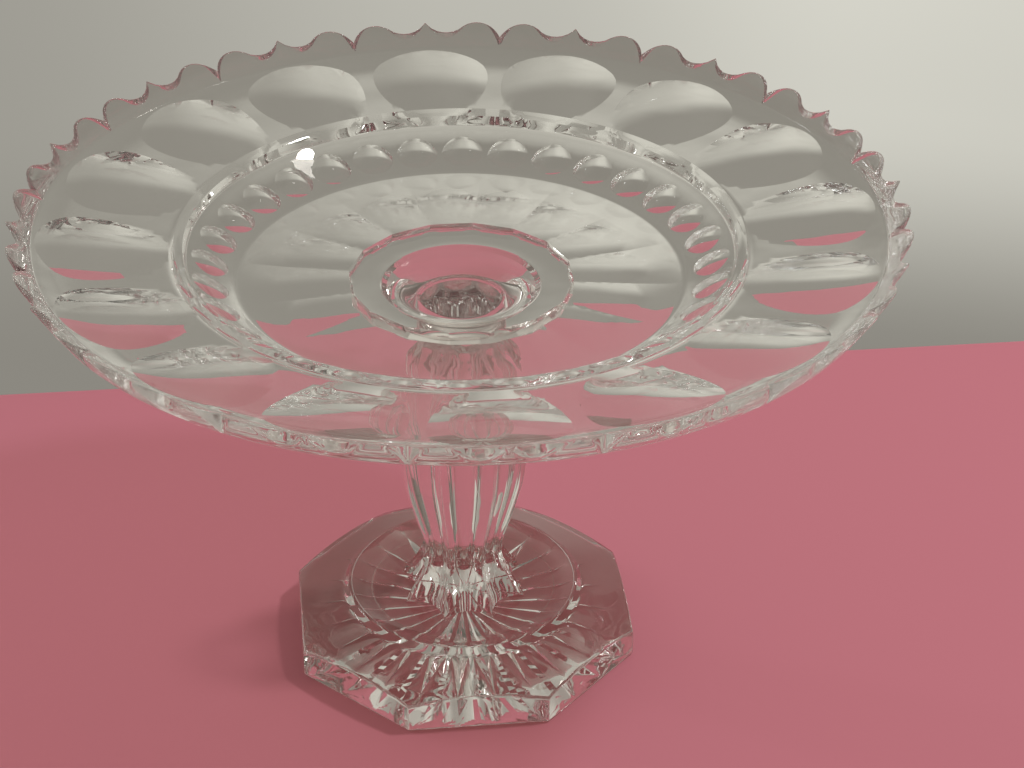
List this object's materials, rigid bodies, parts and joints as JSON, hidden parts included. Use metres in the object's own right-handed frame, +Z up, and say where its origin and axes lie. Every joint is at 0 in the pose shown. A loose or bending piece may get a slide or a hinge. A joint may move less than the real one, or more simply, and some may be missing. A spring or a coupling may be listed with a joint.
{
  "type": "pedestal cake stand",
  "caption": "Pressed-glass footed cake plate with a scalloped flared rim and thumbprint pattern, on a fluted baluster stem and a solid octagonal foot.",
  "frame": {"origin": "centre of the foot's underside, on the table", "axes": "+Z up along the stem's axis; X and Y square to flats of the octagonal foot, and each points at a pointed tip of the rim"},
  "size_m": [0.28, 0.28, 0.165],
  "materials": {
    "plate_glass": "clear fire-polished pressed glass, faint straw tint",
    "stem_glass": "clear fire-polished pressed glass, faint straw tint",
    "foot_glass": "clear pressed glass, lightly scuffed underside"
  },
  "bodies": {
    "root": {"plate": "plate_glass", "wafer": "stem_glass", "stem": "stem_glass", "foot": "foot_glass"}
  },
  "joints": []
}
